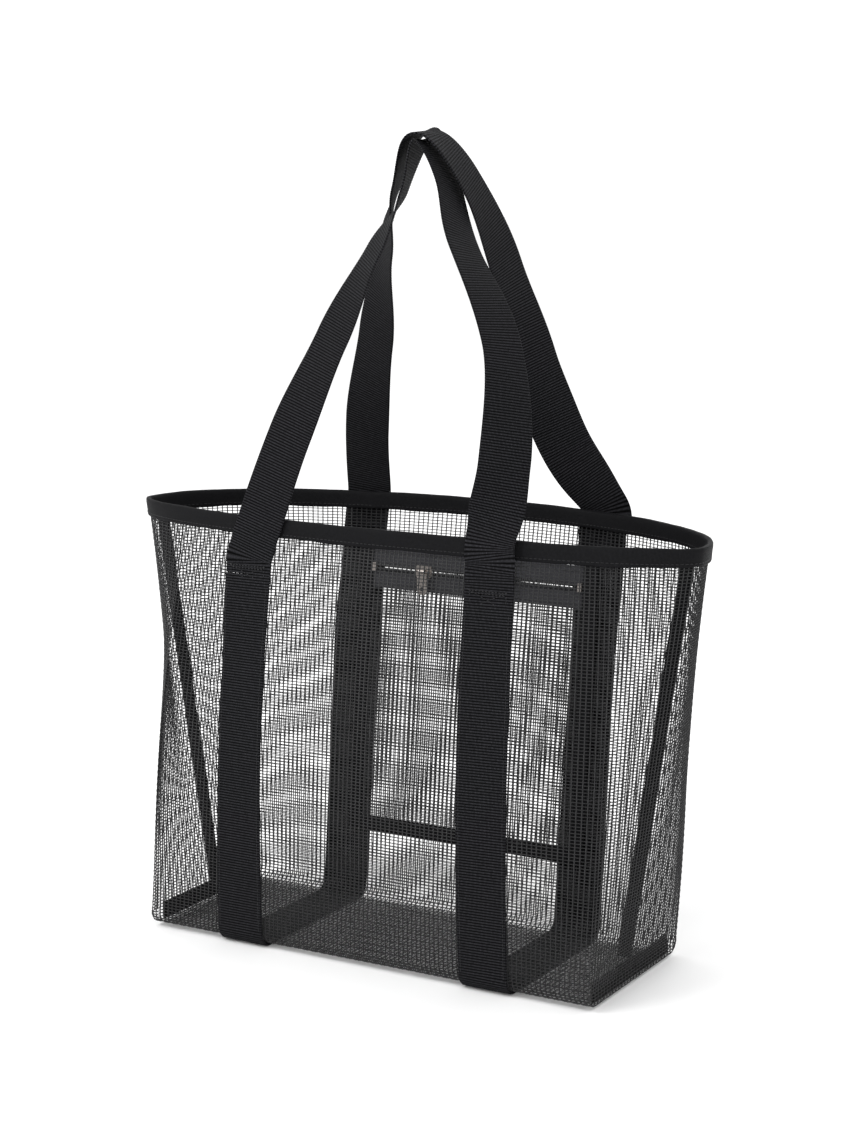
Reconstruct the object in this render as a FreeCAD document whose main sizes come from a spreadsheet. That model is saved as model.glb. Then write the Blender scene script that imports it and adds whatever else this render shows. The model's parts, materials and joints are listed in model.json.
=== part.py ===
import FreeCAD, Part
import math
import os
import Sketcher
from FreeCAD import Placement, Rotation, Vector

# Beach bag of open netting with webbing straps, two handle loops and an inner zip pocket.
# Millimetres, +X to the right, +Y to the back, +Z up. The driving sizes are in the sheet.
# Shapes are worked out about the middle of the base, and each sub-part's Placement then
# moves it by frame_shift, so that the origin is under the middle of the whole bag.

os.makedirs("parts", exist_ok=True)
doc = FreeCAD.newDocument("beach_bag")

SIZES = {
    "base_length": 350,
    "base_width": 138,
    "base_edge_radius": 10,
    "panel_thickness": 1.2,
    "panel_clearance": 0.3,
    "seam_gap": 0.2,
    "rim_height": 300,
    "rim_length": 438,
    "rim_front_depth": 46,
    "rim_back_depth": 110,
    "front_fullness": 9,
    "front_end_fullness": 6,
    "back_end_fullness": 6,
    "end_fullness_reach": 0.3,
    "seam_fade_reach": 0.12,
    "corner_turn_start": 0.07,
    "corner_turn_run": 0.14,
    "frame_shift": -20.35,
    "binding_width": 13,
    "binding_proud": 1.5,
    "binding_thickness": 3,
    "binding_fit": 0.15,
    "fin_mouth": 1.65,
    "fin_clear_of_base": 14,
    "webbing_width": 37,
    "webbing_thickness": 1.6,
    "strap_base": 97,
    "front_left_rim": 99,
    "front_right_rim": 89,
    "back_left_rim": 97,
    "back_right_rim": 97,
    "squaring_start": 200,
    "squaring_run": 45,
    "hinge_height": 272,
    "hinge_stand_off": 0.4,
    "hinge_gap_below": 2.8,
    "hinge_gap_above": 1.5,
    "bartack_below_hinge": 4,
    "bartack_width": 28,
    "bartack_height": 12,
    "bartack_thickness": 0.35,
    "pocket_middle": 3,
    "pocket_width": 194,
    "pocket_binding": 11,
    "pocket_binding_thickness": 2,
    "pocket_depth": 212,
    "pocket_clear_of_wall": 1,
    "zip_height": 247,
    "tape_width": 15,
    "tape_thickness": 0.6,
    "tape_gap": 0.3,
    "coil_width": 3,
    "coil_thickness": 1.8,
    "coil_gap": 0.1,
    "slider_place": -41.5,
    "slider_length": 13,
    "slider_plate": 1.2,
    "slider_clearance": 0.25,
    "slider_corner": 2.2,
    "flange_length": 8,
    "bridge_length": 9.6,
    "bridge_bar": 0.7,
    "bridge_rise": 2.4,
    "tab_width": 8,
    "tab_length": 17,
    "tab_thickness": 1,
    "tab_corner": 2.5,
    "tab_hole": 1.6,
    "tab_hole_from_end": 4.2,
    "eye_length": 5.6,
    "eye_inner": 1,
    "eye_outer": 1.7,
    "stop_length": 3,
    "stop_rise": 0.6,
    "stop_margin": 0.3,
}

sheet = doc.addObject("Spreadsheet::Sheet", "sizes")
for row, (alias, value) in enumerate(SIZES.items(), start=1):
    sheet.set(f"A{row}", alias)
    sheet.set(f"B{row}", str(value))
    sheet.setAlias(f"B{row}", alias)
doc.recompute()


def size(alias):
    return float(sheet.get(alias))


half_length = size("base_length") / 2
half_width = size("base_width") / 2
panel = size("panel_thickness")
gap = size("panel_clearance")
rim_height = size("rim_height")
webbing = size("webbing_thickness")
webbing_half = size("webbing_width") / 2
underside = webbing + gap
wall_start = underside + size("base_edge_radius")
frame = Placement(Vector(0, size("frame_shift"), 0), Rotation())
parts = []


def keep(piece, placement=None):
    """Give a finished sub-part its place in the bag's frame and list it for export."""
    piece.Placement = frame.multiply(placement or Placement())
    parts.append(piece)
    return piece


def feature(name, shape):
    piece = doc.addObject("Part::Feature", name)
    piece.Label = name
    piece.Shape = shape
    return keep(piece)


def box(name, length, width, height, corner):
    """A Part::Box whose sides are expressions, with one corner at the point given."""
    piece = doc.addObject("Part::Box", name)
    piece.Label = name
    piece.setExpression("Length", length)
    piece.setExpression("Width", width)
    piece.setExpression("Height", height)
    piece.Placement = Placement(corner, Rotation())
    return piece


# ---- the wall: from the rectangular base up to the two half-ellipses of the rim, and a little
# fuller than straight lines in the front and at the corners


def arc_lengths(points):
    total = [0.0]
    for one, two in zip(points, points[1:]):
        total.append(total[-1] + (two - one).Length)
    return total


def at_fraction(points, fraction):
    """The point at a fraction of a polyline's length."""
    total = arc_lengths(points)
    wanted = fraction * total[-1]
    for i in range(1, len(points)):
        if total[i] >= wanted - 1e-9:
            share = (wanted - total[i - 1]) / (total[i] - total[i - 1])
            return points[i - 1] + (points[i] - points[i - 1]) * share
    return points[-1]


def base_half(sign, offset):
    """Half of the base's rectangle, from the left seam to the right one."""
    x, y = half_length + offset, sign * (half_width + offset)
    return [Vector(-x, 0, 0), Vector(-x, y, 0), Vector(x, y, 0), Vector(x, 0, 0)]


def rim_half(sign, offset):
    """Half of the rim, an arc of an ellipse, from the left seam to the right one."""
    depth = size("rim_front_depth") if sign < 0 else size("rim_back_depth")
    a, b = size("rim_length") / 2 + offset, sign * (depth + offset)
    turns = [math.pi * i / 200 for i in range(201)]
    return [Vector(-a * math.cos(t), b * math.sin(t), 0) for t in turns]


corner_fraction = half_width / (2 * half_width + 2 * half_length)
STRETCHES = [(0, corner_fraction), (corner_fraction, 1 - corner_fraction), (1 - corner_fraction, 1)]
# heights at which the wall and the straps have a section
LEVELS = [40, 80, 120, 160, 200, 222.5, 245, 269.2, 287]


def fullness(sign, fraction, share):
    """How far, and which way, the wall stands out from a straight line up the bag."""
    from_seam = min(fraction, 1 - fraction)
    middle = size("front_fullness") if sign < 0 else 0
    end = size("front_end_fullness") if sign < 0 else size("back_end_fullness")
    reach = size("end_fullness_reach") - corner_fraction
    along = min(1, max(0, (from_seam - corner_fraction) / reach))
    fade = min(1, from_seam / size("seam_fade_reach"))
    amount = (end + (middle - end) * along) * fade * fade * (3 - 2 * fade)
    amount *= math.sin(math.pi * min(1, max(0, share)))
    turned = (from_seam - size("corner_turn_start")) / size("corner_turn_run")
    turn = min(1, max(0, turned)) * math.pi / 2
    way = -1 if fraction < 0.5 else 1
    return Vector(way * math.cos(turn), sign * math.sin(turn), 0) * amount


def wall_point(sign, fraction, height, offset=0.0):
    share = (height - wall_start) / (rim_height - wall_start)
    low = at_fraction(base_half(sign, offset), fraction)
    high = at_fraction(rim_half(sign, offset), fraction)
    point = low + (high - low) * share + fullness(sign, fraction, share)
    return Vector(point.x, point.y, height)


def wall_section(height, offset):
    """A closed level section of the wall, in six edges that meet at the seams and corners."""
    edges = []
    for sign, stretches in ((-1, STRETCHES), (1, [(b, a) for a, b in reversed(STRETCHES)])):
        for start, end in stretches:
            count = 14 if abs(end - start) > 0.5 else 7
            steps = [start + (end - start) * i / count for i in range(count + 1)]
            curve = Part.BSplineCurve()
            curve.interpolate([wall_point(sign, f, height, offset) for f in steps])
            edges.append(curve.toShape())
    return Part.Wire(edges)


def wall_solid(low, high, offset):
    """The space inside the wall, in flat-sided storeys between the levels."""
    heights = [low] + [level for level in LEVELS if low < level < high] + [high]
    return Part.makeLoft([wall_section(height, offset) for height in heights], True, True)


def wall_y(sign, x, height, offset=0.0):
    """Where the wall's surface is, at a place along the front or back."""
    low, high = corner_fraction, 1 - corner_fraction
    for _ in range(40):
        middle = (low + high) / 2
        if wall_point(sign, middle, height, offset).x < x:
            low = middle
        else:
            high = middle
    return wall_point(sign, low, height, offset).y


def make_panels():
    """The two netting panels: one thin ring of wall, parted at the side seams."""
    top = rim_height - 1
    ring = wall_solid(wall_start, top, 0).cut(wall_solid(wall_start - 1, top + 1, -panel))
    reach = size("rim_length")
    half_gap = size("seam_gap") / 2
    for name, low in (("front_panel", -reach - half_gap), ("back_panel", half_gap)):
        side = Part.makeBox(2 * reach, reach, 2 * reach, Vector(-reach, low, 0))
        feature(name, ring.common(side).Solids[0])


def make_rim_binding():
    """Tape folded over the wall's top edge: a ring with a slot from below for the panels."""
    proud, fit = size("binding_proud"), size("binding_fit")
    low, high = rim_height - size("binding_width"), rim_height + 1
    ring = wall_solid(low, high, proud).cut(wall_solid(low - 1, high + 1, -panel - proud))
    slot_top = high - proud - 0.3
    slot = wall_solid(low - 1, slot_top, fit).cut(wall_solid(low - 2, slot_top + 1, -panel - fit))
    feature("rim_binding", ring.cut(slot).Solids[0])


def round_long_edges(name, base, radius):
    """A fillet of the two long bottom edges of a box."""
    lowest = base.Shape.BoundBox.ZMin
    chosen = []
    for number, edge in enumerate(base.Shape.Edges, start=1):
        level = edge.BoundBox.ZMax - lowest < 0.001
        if level and edge.BoundBox.XLength > half_length:
            chosen.append((number, radius, radius))
    rounded = doc.addObject("Part::Fillet", name)
    rounded.Base = base
    rounded.Edges = chosen
    return rounded


def make_base():
    """A shallow tray of netting: rounded along the front and back, square at the ends."""
    outer = box(
        "base_outside",
        "sizes.base_length",
        "sizes.base_width",
        "sizes.base_edge_radius - 0.01",
        Vector(-half_length, -half_width, underside),
    )
    inner = box(
        "base_inside",
        "sizes.base_length - 2 * sizes.panel_thickness",
        "sizes.base_width - 2 * sizes.panel_thickness",
        "sizes.base_edge_radius * 2",
        Vector(-half_length + panel, -half_width + panel, underside + panel),
    )
    doc.recompute()
    radius = size("base_edge_radius") - 0.02
    outer_round = round_long_edges("base_outside_rounded", outer, radius)
    inner_round = round_long_edges("base_inside_rounded", inner, radius - panel)
    doc.recompute()
    tray = doc.addObject("Part::Cut", "base_panel")
    tray.Label = "base_panel"
    tray.Base = outer_round
    tray.Tool = inner_round
    keep(tray)


def make_side_bindings():
    """Folded tape round the side-seam allowance: a fin that stands into the bag."""
    half, deep = size("binding_thickness") / 2, size("binding_width")
    mouth = size("fin_mouth") / 2
    low = underside + panel + size("fin_clear_of_base")
    high = rim_height - size("binding_width") - gap
    for name, sign in (("left_side_binding", -1), ("right_side_binding", 1)):
        wires = []
        for height in (low, high):
            seam = wall_point(-1, 1, height).x - panel
            outer, inner = sign * (seam - size("binding_thickness")), sign * (seam - deep)
            corners = [(outer, -mouth), (outer, mouth), (inner, half), (inner, -half)]
            points = [Vector(x, y, height) for x, y in corners]
            wires.append(Part.makePolygon(points + points[:1]))
        feature(name, Part.makeLoft(wires, True, True))


def make_corner_bindings():
    """Folded tape over the boxed-corner seam along each short edge of the base."""
    run = size("base_width") - 2 * size("base_edge_radius") - 4
    outside = half_length - panel - gap
    for name, sign in (("left_corner_binding", -1), ("right_corner_binding", 1)):
        x = outside - size("binding_thickness") if sign > 0 else -outside
        piece = box(
            name,
            "sizes.binding_thickness",
            "sizes.base_width - 2 * sizes.base_edge_radius - 4",
            "sizes.binding_width",
            Vector(),
        )
        keep(piece, Placement(Vector(x, -run / 2, underside + panel + gap), Rotation()))


# ---- webbing


def band(stations):
    """A flat band as one solid: stations are (middle, half-width vector, half-thickness vector)."""
    wires = []
    for middle, across, through in stations:
        corners = [
            middle + across + through,
            middle + across - through,
            middle - across - through,
            middle - across + through,
        ]
        wires.append(Part.makePolygon(corners + corners[:1]))
    return Part.makeLoft(wires, True, True)


def strap_x(sign, height, side):
    place = ("front" if sign < 0 else "back") + ("_left" if side < 0 else "_right")
    low, high = size("strap_base"), size(place + "_rim")
    return side * (low + (high - low) * (height - wall_start) / (rim_height - wall_start))


def leg_plane(sign, height, extra=0.0):
    """One plane clear of the wall for both webbing legs of a side, square to the bag."""
    inner = min(strap_x(sign, height, 1), -strap_x(sign, height, -1)) - webbing_half
    return wall_y(sign, inner, height) + sign * (gap + webbing / 2 + extra)


def leg_station(sign, height, side):
    """One section of a strap leg: it follows the wall, then squares up below the handle."""
    x = strap_x(sign, height, side)
    one, two = (wall_y(sign, x + way * webbing_half, height) for way in (-1, 1))
    slope = math.atan2(two - one, 2 * webbing_half)
    furthest = max(sign * wall_y(sign, x, height), sign * (one + two) / 2)
    follow = sign * (furthest + gap + webbing / 2)
    squared = min(1, max(0, (height - size("squaring_start")) / size("squaring_run")))
    slope *= 1 - squared
    middle = Vector(x, follow + (leg_plane(sign, height) - follow) * squared, height)
    across = Vector(math.cos(slope), math.sin(slope), 0)
    return middle, across * webbing_half, Vector(-across.y, across.x, 0) * (webbing / 2)


def make_straps():
    """Each strap runs down the front, under the base and up the back."""
    top = size("hinge_height") - size("hinge_gap_below")
    heights = [top] + [level for level in reversed(LEVELS) if level < top] + [wall_start + 6]
    bend = size("base_edge_radius") + gap + webbing / 2
    for name, side in (("left_strap", -1), ("right_strap", 1)):
        stations = [leg_station(-1, height, side) for height in heights]
        for sign, turns in ((-1, (0, 22, 45, 68, 90)), (1, (90, 68, 45, 22, 0))):
            x = strap_x(sign, wall_start, side)
            centre_y = sign * (half_width - size("base_edge_radius"))
            for turn in turns:
                a = math.radians(turn)
                out = Vector(0, sign * math.cos(a), -math.sin(a))
                middle = Vector(x, centre_y, wall_start) + out * bend
                stations.append((middle, Vector(webbing_half, 0, 0), out * (sign * webbing / 2)))
        ups = [leg_station(1, height, side) for height in reversed(heights)]
        stations += ups
        lined_up = [stations[0]]
        for middle, across, through in stations[1:]:
            if through.dot(lined_up[-1][2]) < 0:
                through = through * -1
            lined_up.append((middle, across, through))
        feature(name, band(lined_up))


def make_bartacks():
    """Box stitching where each strap leg leaves its panel: four thin plates of thread."""
    half, tall = size("bartack_width") / 2, size("bartack_height")
    thick = size("bartack_thickness")
    high = size("hinge_height") - size("bartack_below_hinge")
    solids = []
    for sign in (-1, 1):
        for side in (-1, 1):
            stations = []
            for height in (high - tall, high):
                middle = leg_station(sign, height, side)[0]
                middle.y += sign * (webbing / 2 + 0.02 + thick / 2)
                stations.append((middle, Vector(half, 0, 0), Vector(0, thick / 2, 0)))
            solids.append(band(stations))
    feature("strap_bartacks", Part.makeCompound(solids))


# Route of each handle loop: place of the webbing's middle, and how far its width has turned
# about the vertical from lying along the bag. The last point of each half is the top of the loop.
HANDLES = {
    "front_handle": {
        "sign": -1,
        "slant": 0.3,
        "left": [(-73, -36, 360, -4), (-50, -18, 425, -20), (-25, -5, 483, -42), (-6, 4, 524, -68)],
        "top": (4, 12, 557, -82),
        "right": [(25, 10, 528, -84), (45, -4, 487, -90), (79, -15, 427, -104), (94, -38, 350, -130)],
        "lean": -0.05,
    },
    "back_handle": {
        "sign": 1,
        "slant": 0,
        "left": [(-86, 86, 353, -4), (-65, 64, 418, -20), (-45, 45, 483, -45), (-24, 29, 532, -70)],
        "top": (4, 15, 562.5, -82),
        "right": [(31, 29, 530, -86), (46, 54, 470, -98), (59, 70, 408, -118), (73, 93, 345, -150)],
        "lean": -0.05,
    },
}


def handle_route(name):
    """Points and width angles along a whole loop, from the left stitching to the right."""
    spec = HANDLES[name]
    sign = spec["sign"]
    start = size("hinge_height") + size("hinge_gap_above")
    binding = size("binding_proud") + 0.5
    stand_off = size("hinge_stand_off")
    steps = ((start, stand_off), (start + 7, 1), (start + 15, binding), (rim_height + 4, binding))
    points, angles = [], []
    for height, extra in steps:
        x = strap_x(sign, height, -1) + spec["slant"] * (height - start)
        points.append(Vector(x, leg_plane(sign, height, extra), height))
        angles.append(0)
    for x, y, z, angle in spec["left"] + [spec["top"]] + spec["right"]:
        points.append(Vector(x, y, z))
        angles.append(angle)
    for height, extra in reversed(steps):
        points.append(Vector(strap_x(sign, height, 1), leg_plane(sign, height, extra), height))
        angles.append(-180)
    return points, angles


def blend_angle(angles, place):
    low = min(int(place), len(angles) - 2)
    share = place - low
    share = share * share * (3 - 2 * share)
    return angles[low] + (angles[low + 1] - angles[low]) * share


def handle_stations(name):
    points, angles = handle_route(name)
    last = len(points) - 1
    curve = Part.BSplineCurve()
    curve.interpolate(Points=points, Parameters=[float(i) for i in range(last + 1)])
    top = HANDLES[name]["top"][2]
    stations = []
    per_span = 5
    for step in range(last * per_span + 1):
        place = step / per_span
        middle = curve.value(place)
        along = curve.tangent(place)[0]
        if step in (0, last * per_span):
            along = Vector(0, 0, 1 if step == 0 else -1)
        turn = math.radians(blend_angle(angles, place))
        near_top = max(0, 1 - (top - middle.z) / 60)
        across = Vector(math.cos(turn), math.sin(turn), HANDLES[name]["lean"] * near_top)
        across = across - along * across.dot(along)
        across.normalize()
        through = along.cross(across)
        stations.append((middle, across * webbing_half, through * (webbing / 2)))
    return stations


def make_handles():
    for name in HANDLES:
        feature(name, band(handle_stations(name)))


# ---- zip pocket: flat pieces on one plane that leans with the back wall


def pocket_plane():
    """Placement of the pocket: X along the zip, Y up the plane, Z towards the front."""
    edge = abs(size("pocket_middle")) + size("pocket_width") / 2
    clear = panel + size("pocket_clear_of_wall") + gap
    high = size("zip_height")
    low = high - size("pocket_depth")
    top_y = wall_y(1, edge, high + size("tape_width")) - clear
    zip_y = wall_y(1, edge, high) - clear
    low_y = wall_y(1, edge, low) - clear
    slope = math.atan2(top_y - low_y, high + size("tape_width") - low)
    turned = Rotation(Vector(1, 0, 0), 90 - math.degrees(slope))
    return Placement(Vector(size("pocket_middle"), zip_y, high), turned)


pocket = pocket_plane()
half_pocket = size("pocket_width") / 2
inside_half = half_pocket - size("pocket_binding")


def plate(name, width, height, thickness, corner, placement=pocket):
    """A PartDesign pad of a rectangle, with its low corner at a place on the pocket's plane."""
    body = doc.addObject("PartDesign::Body", name)
    body.Label = name
    sketch = body.newObject("Sketcher::SketchObject", name + "_outline")
    plane = [f for f in body.Origin.OriginFeatures if f.Role == "XY_Plane"][0]
    sketch.AttachmentSupport = [(plane, "")]
    sketch.MapMode = "FlatFace"
    corners = [Vector(0, 0, 0), Vector(10, 0, 0), Vector(10, 10, 0), Vector(0, 10, 0)]
    for i in range(4):
        sketch.addGeometry(Part.LineSegment(corners[i], corners[(i + 1) % 4]), False)
    for i in range(4):
        sketch.addConstraint(Sketcher.Constraint("Coincident", i, 2, (i + 1) % 4, 1))
    sketch.addConstraint(Sketcher.Constraint("Horizontal", 0))
    sketch.addConstraint(Sketcher.Constraint("Horizontal", 2))
    sketch.addConstraint(Sketcher.Constraint("Vertical", 1))
    sketch.addConstraint(Sketcher.Constraint("Vertical", 3))
    sketch.addConstraint(Sketcher.Constraint("Coincident", 0, 1, -1, 1))
    across = sketch.addConstraint(Sketcher.Constraint("DistanceX", 0, 1, 0, 2, 10.0))
    upward = sketch.addConstraint(Sketcher.Constraint("DistanceY", 1, 1, 1, 2, 10.0))
    sketch.setExpression(f"Constraints[{across}]", width)
    sketch.setExpression(f"Constraints[{upward}]", height)
    pad = body.newObject("PartDesign::Pad", name + "_pad")
    pad.Profile = sketch
    pad.setExpression("Length", thickness)
    body.Tip = pad
    return keep(body, placement.multiply(Placement(corner, Rotation())))


def make_pocket():
    tape, split = size("tape_width"), size("tape_gap")
    wide = "sizes.pocket_width - 2 * sizes.pocket_binding - 0.2"
    left = -inside_half + 0.1
    plate("zip_upper_tape", wide, "sizes.tape_width", "sizes.tape_thickness", Vector(left, split, 0))
    lower = Vector(left, -split - tape, 0)
    plate("zip_lower_tape", wide, "sizes.tape_width", "sizes.tape_thickness", lower)
    bottom = tape + split - size("pocket_depth")
    cloth = "sizes.pocket_depth - 2 * sizes.tape_width - 2 * sizes.tape_gap - 0.2"
    cloth += " - sizes.pocket_binding"
    cloth_corner = Vector(left, bottom + size("pocket_binding") + 0.1, 0)
    plate("pocket_panel", wide, cloth, "sizes.tape_thickness", cloth_corner)
    thickness = "sizes.pocket_binding_thickness"
    back = (size("tape_thickness") - size("pocket_binding_thickness")) / 2
    plate("pocket_left_binding", "sizes.pocket_binding", "sizes.pocket_depth", thickness,
          Vector(-half_pocket, bottom, back))
    plate("pocket_right_binding", "sizes.pocket_binding", "sizes.pocket_depth", thickness,
          Vector(inside_half, bottom, back))
    plate("pocket_bottom_binding", wide, "sizes.pocket_binding", thickness,
          Vector(left, bottom, back))


def make_zip():
    """Two rows of coil on the tapes' front faces, and a stop at each end."""
    face, wide = size("tape_thickness"), size("coil_width")
    run = "sizes.pocket_width - 2 * sizes.pocket_binding - 2 * sizes.stop_length - 1"
    left = -inside_half + size("stop_length") + 0.5
    for name, low in (("zip_upper_coil", size("coil_gap")), ("zip_lower_coil", -size("coil_gap") - wide)):
        plate(name, run, "sizes.coil_width", "sizes.coil_thickness", Vector(left, low, face))
    stops = []
    stop_long, margin = size("stop_length"), size("stop_margin")
    high = size("coil_thickness") + size("stop_rise")
    for low in (-inside_half + margin, inside_half - stop_long - margin):
        stops.append(Part.makeBox(stop_long, 2 * wide, high, Vector(low, -wide, face)))
    piece = doc.addObject("Part::Feature", "zip_stops")
    piece.Label = "zip_stops"
    piece.Shape = Part.makeCompound(stops)
    keep(piece, pocket)


def slider_heights():
    """Heights off the pocket's plane of the slider's plate, its top, and the bridge's middle."""
    plate_low = size("tape_thickness") + size("coil_thickness") + size("slider_clearance")
    plate_high = plate_low + size("slider_plate")
    return plate_low, plate_high, plate_high + size("bridge_rise")


def make_slider():
    """A saddle over the coil, with a flange each side and a bridge that the tab hangs on."""
    low, high, bar = slider_heights()
    overlap = 0.2
    long, wall, clear = size("slider_length"), size("slider_plate"), size("slider_clearance")
    half = size("coil_gap") + size("coil_width") + clear + wall
    plate_box = Part.makeBox(long, 2 * half, wall, Vector(-long / 2, -half, low))
    upright = [edge for edge in plate_box.Edges if edge.BoundBox.ZLength > wall / 2]
    body = plate_box.makeFillet(size("slider_corner"), upright)
    foot, flange_long = size("tape_thickness") + clear, size("flange_length")
    for side in (-half, half - wall):
        flange = Part.makeBox(flange_long, wall, low - foot + overlap, Vector(-flange_long / 2, side, foot))
        body = body.fuse(flange)
    reach = size("bridge_length") / 2
    radius = size("bridge_bar")
    rod = Part.makeCylinder(radius, 2 * reach, Vector(-reach, 0, bar), Vector(1, 0, 0))
    body = body.fuse(rod)
    for x in (-reach, reach - 2 * radius):
        corner = Vector(x, -radius, high - overlap)
        post = Part.makeBox(2 * radius, 2 * radius, bar + radius - high + overlap, corner)
        body = body.fuse(post)
    piece = doc.addObject("Part::Feature", "zip_slider")
    piece.Label = "zip_slider"
    piece.Shape = body.removeSplitter().Solids[0]
    keep(piece, pocket.multiply(Placement(Vector(size("slider_place"), 0, 0), Rotation())))


def make_pull_tab():
    """A stamped tab whose rolled eye turns on the slider's bridge, hanging straight down."""
    wide, long, thick = size("tab_width"), size("tab_length"), size("tab_thickness")
    blade = Part.makeBox(wide, long, thick, Vector(-wide / 2, -long, -thick / 2))
    lower = [e for e in blade.Edges if e.BoundBox.ZLength > thick / 2 and e.BoundBox.YMax < -long / 2]
    blade = blade.makeFillet(size("tab_corner"), lower)
    hole_place = Vector(0, size("tab_hole_from_end") - long, -thick * 1.5)
    hole = Part.makeCylinder(size("tab_hole"), 3 * thick, hole_place)
    blade = blade.cut(hole)
    eye_long = size("eye_length")
    start = Vector(-eye_long / 2, 0, 0)
    eye = Part.makeCylinder(size("eye_outer"), eye_long, start, Vector(1, 0, 0))
    clear = Part.makeCylinder(size("eye_inner"), wide * 2, Vector(-wide, 0, 0), Vector(1, 0, 0))
    # the blade stops short of the bridge on both sides of the eye
    neck_half = size("eye_outer") - 0.4
    neck_corner = Vector(-wide, -neck_half, -thick)
    neck = Part.makeBox(2 * wide, 2 * neck_half, 2 * thick, neck_corner)
    tab = blade.cut(neck).fuse(eye).cut(clear)
    piece = doc.addObject("Part::Feature", "zip_pull_tab")
    piece.Label = "zip_pull_tab"
    piece.Shape = tab.removeSplitter().Solids[0]
    bar = pocket.multVec(Vector(size("slider_place"), 0, slider_heights()[2]))
    keep(piece, Placement(bar, Rotation(Vector(1, 0, 0), 90)))


make_panels()
make_base()
make_rim_binding()
make_side_bindings()
make_corner_bindings()
make_straps()
make_bartacks()
make_handles()
make_pocket()
make_zip()
make_slider()
make_pull_tab()
doc.recompute()

for item in doc.Objects:
    for state in item.State:
        if state in ("Invalid", "Error"):
            raise RuntimeError(f"{item.Label} did not recompute")
for part in parts:
    if part.Shape.isNull() or not part.Shape.isValid():
        raise RuntimeError(f"{part.Label} has no valid shape")
    part.Shape.exportStep(f"parts/{part.Label}.step")

whole = Part.makeCompound([part.Shape for part in parts]).BoundBox
print(f"{len(parts)} parts, from {whole.XMin:.2f} {whole.YMin:.2f} {whole.ZMin:.2f}")
print(f"to {whole.XMax:.2f} {whole.YMax:.2f} {whole.ZMax:.2f}")
for name, sign in (("front", -1), ("back", 1)):
    plane = leg_plane(sign, size("hinge_height"), size("hinge_stand_off"))
    middle = frame.multVec(Vector(0, plane, size("hinge_height")))
    print(f"{name} handle hinge at {middle.y:.3f} {middle.z:.3f}")
hinge = frame.multiply(pocket).multVec(Vector(size("slider_place"), 0, slider_heights()[2]))
print(f"pull tab hinge at {hinge.x:.3f} {hinge.y:.3f} {hinge.z:.3f}")
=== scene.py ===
"""Beach bag of open netting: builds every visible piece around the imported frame."""

import json
import math

import bpy
import numpy as np
from bpy.props import FloatProperty, FloatVectorProperty, IntProperty, PointerProperty
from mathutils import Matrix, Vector


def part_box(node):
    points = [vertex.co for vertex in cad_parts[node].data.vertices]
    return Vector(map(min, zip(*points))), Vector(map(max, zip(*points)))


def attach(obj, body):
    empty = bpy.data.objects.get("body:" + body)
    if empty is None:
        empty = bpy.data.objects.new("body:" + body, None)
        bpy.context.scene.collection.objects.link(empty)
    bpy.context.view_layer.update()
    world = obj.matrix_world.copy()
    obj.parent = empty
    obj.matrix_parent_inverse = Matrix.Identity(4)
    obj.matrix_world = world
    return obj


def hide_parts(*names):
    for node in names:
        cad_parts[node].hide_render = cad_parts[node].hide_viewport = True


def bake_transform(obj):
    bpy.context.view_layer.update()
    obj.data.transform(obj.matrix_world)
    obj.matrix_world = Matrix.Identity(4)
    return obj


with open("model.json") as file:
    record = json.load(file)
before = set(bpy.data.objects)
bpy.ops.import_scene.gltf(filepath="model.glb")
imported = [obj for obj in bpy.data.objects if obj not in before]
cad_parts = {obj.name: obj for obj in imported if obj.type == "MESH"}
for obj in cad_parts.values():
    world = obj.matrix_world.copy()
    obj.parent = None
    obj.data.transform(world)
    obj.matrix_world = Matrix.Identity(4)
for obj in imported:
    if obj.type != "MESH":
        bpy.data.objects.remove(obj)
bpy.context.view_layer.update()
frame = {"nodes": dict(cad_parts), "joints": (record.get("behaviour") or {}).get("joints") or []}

bl_info = {
    "name": "Netting Beach Bag",
    "version": (1, 0, 0),
    "blender": (4, 5, 0),
    "location": "View3D > Sidebar > Beach Bag",
    "description": "Builds the netting, webbing, bindings and zip pocket of a beach bag",
    "category": "Add Mesh",
}

MM = 0.001

# the wall: its base and height come from the frame, and the rest shapes it between them
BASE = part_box("base_panel")
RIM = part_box("rim_binding")
SEAM_Y = (BASE[0].y + BASE[1].y) / 2
HALF_LENGTH = (BASE[1].x - BASE[0].x) / 2
HALF_WIDTH = (BASE[1].y - BASE[0].y) / 2
EDGE_RADIUS = 10 * MM
WALL_START = BASE[0].z + EDGE_RADIUS
RIM_HEIGHT = RIM[1].z - 1 * MM
HALFWAY_UP = 150 * MM
RIM_HALF = 219 * MM
RIM_DEPTH = {-1: 46 * MM, 1: 110 * MM}
FULLNESS = {-1: 9 * MM, 1: 0.0}
END_FULLNESS = 6 * MM
END_REACH = 0.3
SEAM_FADE = 0.12
CORNER_TURN_START, CORNER_TURN_RUN = 0.07, 0.14
PANEL = 1.2 * MM
SLACK = 2.2 * MM

# webbing, on the front (-1) or back (1), left (-1) or right (1)
CLEARANCE = 0.3 * MM
WEBBING_THICKNESS = 1.6 * MM
WEBBING_WIDTH = 37 * MM
STRAP_FOOT = 97 * MM
STRAP_HEAD = {(-1, -1): 99 * MM, (-1, 1): 89 * MM, (1, -1): 97 * MM, (1, 1): 97 * MM}
STRAP_LOW = 19 * MM
SQUARING_START = 200 * MM
SQUARING_RUN = 45 * MM
HINGE_HEIGHT = frame["joints"][0]["pos_m"][2]
HINGE_GAP_BELOW, HINGE_GAP_ABOVE = 2.8 * MM, 1.5 * MM
STITCH_LINE = HINGE_HEIGHT - 18 * MM
BOX_STITCH_HEIGHT = STITCH_LINE + 8 * MM
TOP_LEAN = -0.05
LEAN_REACH = 60 * MM

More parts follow.
